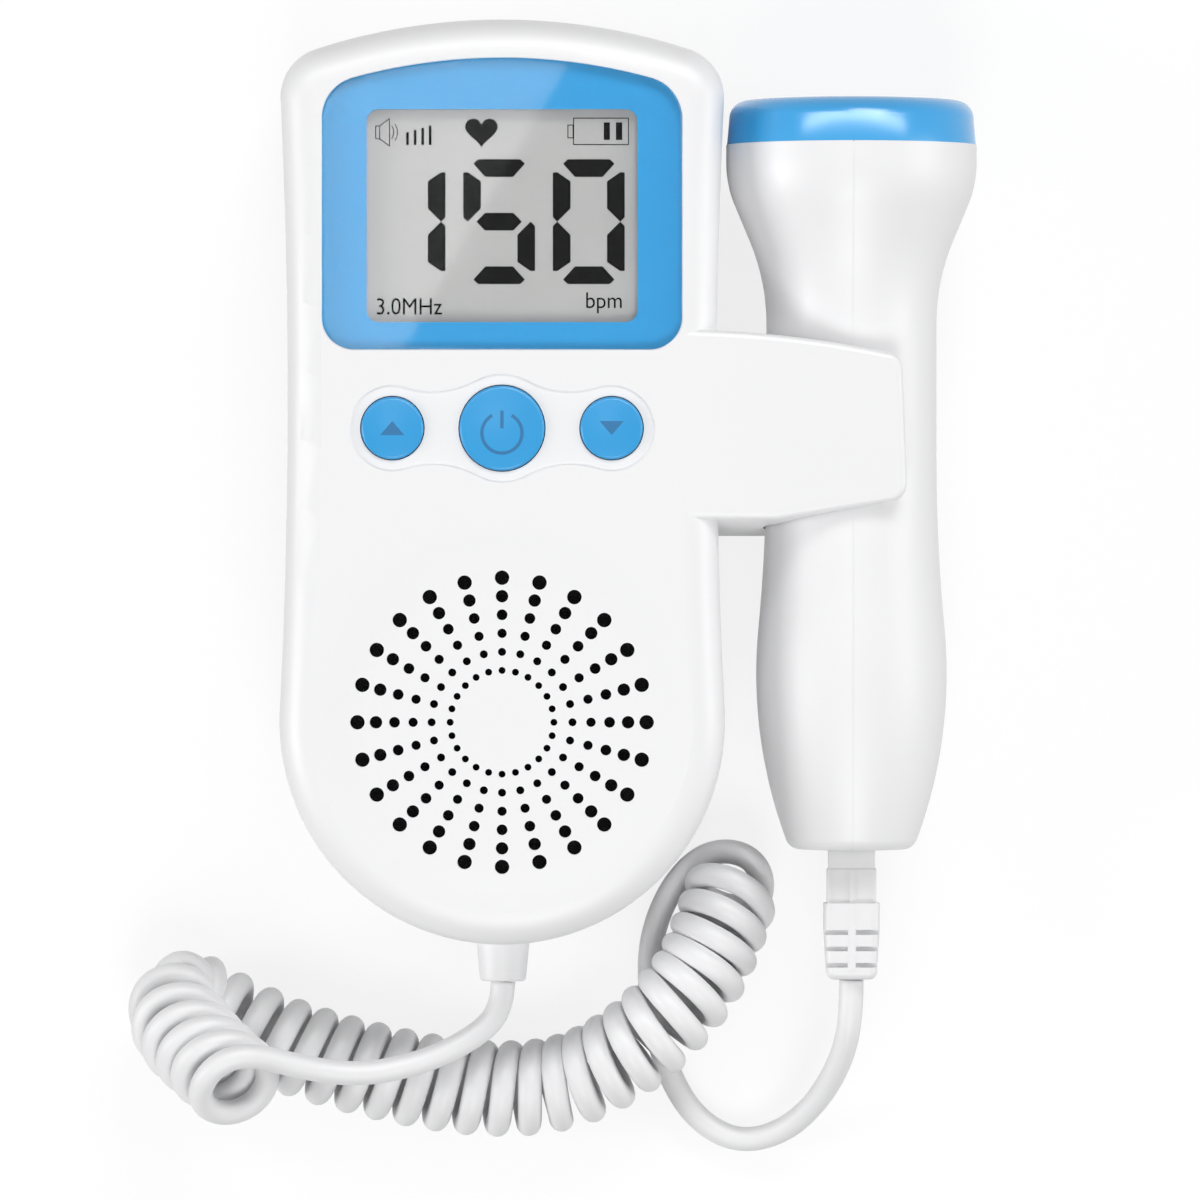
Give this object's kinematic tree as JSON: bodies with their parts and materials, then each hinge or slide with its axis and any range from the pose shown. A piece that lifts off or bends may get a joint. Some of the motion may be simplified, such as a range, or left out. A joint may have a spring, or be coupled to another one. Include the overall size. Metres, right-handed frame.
{
  "type": "fetal doppler monitor",
  "caption": "Handheld fetal heart monitor: a white case with display, three buttons and speaker grille, and a wired probe held in a side clip.",
  "frame": {"origin": "the case's flat back face, on the case's midline and level with the middle of its length", "axes": "+X towards the probe, +Y towards the display end, +Z out of the front face"},
  "size_m": [0.1249, 0.1666, 0.0372],
  "materials": {
    "white_abs": "satin moulded ABS",
    "blue_abs": "semi-gloss moulded ABS",
    "window_acrylic": "clear acrylic",
    "blue_print": "printed film",
    "lcd_glass": "display glass",
    "white_frame": "moulded",
    "light_guide": "clear moulded",
    "zebra": "conductive silicone strip",
    "circuit_board": "solder mask",
    "black_chip": "moulded",
    "switch_body": "moulded",
    "white_pin": "moulded",
    "battery_wrap": "printed sleeve",
    "nickel": "plated",
    "steel_screw": "zinc plated",
    "speaker_paper": "paper cone",
    "black_cloth": "woven",
    "black_foam": "foam gasket",
    "basket_steel": "pressed",
    "ferrite": "ferrite",
    "jack_black": "moulded",
    "white_pvc": "soft PVC",
    "wire_red": "insulation",
    "coupling_epoxy": "cast",
    "ceramic": "fired ceramic",
    "backing": "loaded epoxy",
    "plug_clear": "clear moulded",
    "gold": "gold plated"
  },
  "bodies": {
    "housing": {"front_shell": "white_abs", "rear_shell": "white_abs", "battery_left": "battery_wrap", "battery_right": "battery_wrap", "battery_plates": "nickel", "battery_springs": "nickel", "housing_screws": "steel_screw", "board_screws": "steel_screw", "display_window": "window_acrylic", "window_mask": "blue_print", "lcd_glass": "lcd_glass", "lcd_holder": "white_frame", "lcd_backlight": "light_guide", "zebra_strip": "zebra", "main_board": "circuit_board", "board_chips": "black_chip", "tact_switches": "switch_body", "speaker_cloth": "black_cloth", "speaker_gasket": "black_foam", "speaker_frame": "basket_steel", "speaker_cone": "speaker_paper", "speaker_magnet": "ferrite", "speaker_leads": "wire_red", "headphone_jack": "jack_black", "strain_relief": "white_pvc", "cord_lead_body": "white_pvc", "cord_coil": "white_pvc", "cord_lead_probe": "white_pvc", "inner_cord": "white_pvc"},
    "probe": {"probe_left_shell": "white_abs", "probe_right_shell": "white_abs", "probe_cap": "blue_abs", "coupling_layer": "coupling_epoxy", "piezo_crystals": "ceramic", "backing_block": "backing", "probe_board": "circuit_board", "probe_board_chips": "black_chip", "crystal_leads": "wire_red", "probe_socket": "jack_black", "plug_body": "plug_clear", "plug_latch": "plug_clear", "plug_contacts": "gold", "plug_boot": "white_pvc"},
    "power_button": {"power_button": "blue_abs", "power_switch_stem": "white_pin"},
    "up_button": {"up_button": "blue_abs", "up_switch_stem": "white_pin"},
    "down_button": {"down_button": "blue_abs", "down_switch_stem": "white_pin"},
    "battery_door": {"battery_door": "white_abs"}
  },
  "joints": [
    {"name": "power_press", "type": "slide", "parent": "housing", "child": "power_button", "axis": [0, 0, -1], "range_m": [0, 0.0006], "stiffness_N_per_m": 1200, "springref_m": -0.0004},
    {"name": "up_press", "type": "slide", "parent": "housing", "child": "up_button", "axis": [0, 0, -1], "range_m": [0, 0.0006], "stiffness_N_per_m": 1200, "springref_m": -0.0004},
    {"name": "down_press", "type": "slide", "parent": "housing", "child": "down_button", "axis": [0, 0, -1], "range_m": [0, 0.0006], "stiffness_N_per_m": 1200, "springref_m": -0.0004},
    {"name": "battery_door_slide", "type": "slide", "parent": "housing", "child": "battery_door", "axis": [0, 1, 0], "range_m": [0, 0.062]},
    {"name": "probe_unclip", "type": "slide", "parent": "housing", "child": "probe", "axis": [1, 0, 0], "range_m": [0, 0.022]}
  ]
}
